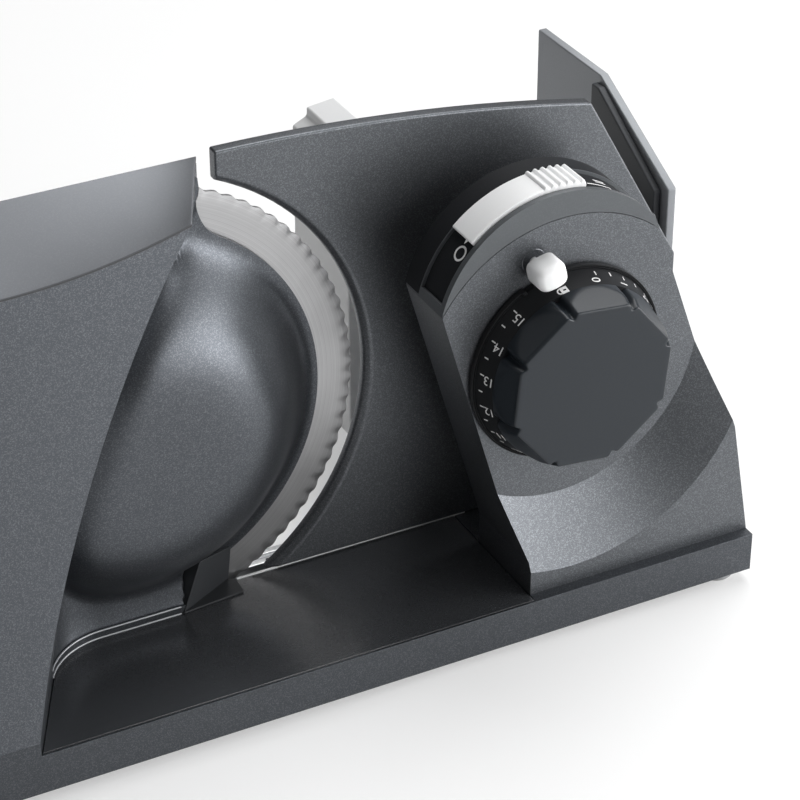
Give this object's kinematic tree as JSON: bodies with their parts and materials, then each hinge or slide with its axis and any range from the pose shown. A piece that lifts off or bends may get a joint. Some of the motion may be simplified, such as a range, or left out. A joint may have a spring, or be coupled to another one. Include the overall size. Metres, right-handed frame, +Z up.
{
  "type": "folding food slicer",
  "caption": "Folding electric food slicer with serrated round blade, thickness knob, arc switch, sliding carriage, folding leaf and white remnant holder",
  "frame": {"origin": "centre of the footprint of the whole machine at rest, on the plane of the feet", "axes": "X runs along the machine from the motor to the control tower, Y runs from the user's front towards the carriage, Z is up"},
  "size_m": [0.3504, 0.2434, 0.185],
  "materials": {
    "speckled_shell": "speckled anthracite shell, fine sparkle, satin",
    "smooth_shell": "smooth dark anthracite plastic, satin",
    "top_panel_grey": "smooth mid-grey anthracite panel, satin",
    "tray_satin": "dark satin tray inlay",
    "carriage_grey": "smooth anthracite plastic, matte",
    "white_plastic": "white plastic, semi gloss",
    "knob_black": "black-grey soft satin plastic",
    "blade_steel": "fine turned stainless steel",
    "rail_aluminium": "bright extruded aluminium",
    "steel": "plain steel",
    "bush_brass": "sintered bronze bush",
    "gear_plastic": "natural acetal",
    "inner_black": "black moulded plastic",
    "foot_rubber": "grey rubber, matte"
  },
  "bodies": {
    "frame_body": {"base_tray": "speckled_shell", "slice_tray": "tray_satin", "bottom_cover": "smooth_shell", "rubber_feet": "foot_rubber", "bottom_screws": "steel", "motor_housing": "speckled_shell", "top_panel": "top_panel_grey", "rear_cover": "smooth_shell", "rear_screws": "steel", "gear_cover": "speckled_shell", "slice_deflector": "smooth_shell", "gear_carrier": "steel", "spindle_bush": "bush_brass", "motor_can": "steel", "cord_inlet": "inner_black", "control_housing": "speckled_shell", "switch_cap": "smooth_shell", "control_rear_cover": "smooth_shell", "micro_switch": "inner_black", "knob_bush": "bush_brass", "rod_bushes": "bush_brass", "rail_brackets": "smooth_shell", "guide_rail": "rail_aluminium"},
    "blade_group": {"blade": "blade_steel", "blade_hub": "inner_black", "drive_gear": "gear_plastic", "blade_spindle": "steel"},
    "blade_lock_cap": {"blade_lock": "inner_black"},
    "motor_rotor": {"motor_shaft": "steel", "motor_pinion": "bush_brass"},
    "stop_group": {"stop_plate": "speckled_shell", "guide_rods": "steel", "cam_follower": "steel"},
    "knob": {"knob_grip": "knob_black", "dial_ring": "knob_black", "knob_spindle": "steel", "setting_cam": "gear_plastic"},
    "switch": {"switch_slider": "white_plastic"},
    "lock": {"lock_button": "white_plastic"},
    "carriage": {"carriage_bed": "carriage_grey", "pusher_wall": "carriage_grey", "thumb_guard": "carriage_grey", "hinge_pin": "steel"},
    "leaf": {"feed_leaf": "carriage_grey"},
    "holder": {"remnant_holder": "white_plastic", "holder_spikes": "steel"}
  },
  "joints": [
    {"name": "blade_spin", "type": "hinge", "parent": "frame_body", "child": "blade_group", "pos_m": [-0.04295, -0.05555, 0.093], "axis": [0, 1, 0], "continuous": true},
    {"name": "blade_lock_turn", "type": "hinge", "parent": "blade_group", "child": "blade_lock_cap", "pos_m": [-0.04295, -0.05375, 0.093], "axis": [0, 1, 0], "range_deg": [0, 90]},
    {"name": "motor_spin", "type": "hinge", "parent": "frame_body", "child": "motor_rotor", "pos_m": [-0.10495, -0.06375, 0.093], "axis": [0, 1, 0], "continuous": true},
    {"name": "knob_turn", "type": "hinge", "parent": "frame_body", "child": "knob", "pos_m": [0.09835, -0.11175, 0.1027], "axis": [0, -1, 0], "range_deg": [0, 334]},
    {"name": "stop_slide", "type": "slide", "parent": "frame_body", "child": "stop_group", "axis": [0, -1, 0], "range_m": [0, 0.016]},
    {"name": "switch_slide", "type": "hinge", "parent": "frame_body", "child": "switch", "pos_m": [0.09615, -0.09175, 0.1205], "axis": [0, 1, 0], "range_deg": [0, 14]},
    {"name": "lock_button_press", "type": "slide", "parent": "frame_body", "child": "lock", "axis": [0, 1, 0], "range_m": [0, 0.0025], "stiffness_N_per_m": 400, "springref_m": -0.001},
    {"name": "carriage_slide", "type": "slide", "parent": "frame_body", "child": "carriage", "axis": [-1, 0, 0], "range_m": [0, 0.19]},
    {"name": "holder_push", "type": "slide", "parent": "carriage", "child": "holder", "axis": [0, -1, 0], "range_m": [0, 0.04]},
    {"name": "leaf_fold", "type": "hinge", "parent": "carriage", "child": "leaf", "pos_m": [0.12325, 0.04875, 0.022], "axis": [1, 0, 0], "range_deg": [0, 90]}
  ],
  "couplings": [
    {"joint": "motor_spin", "follows": "blade_spin", "ratio": -7.8571},
    {"joint": "knob_turn", "follows": "stop_slide", "rad_per_m": 364.3}
  ]
}
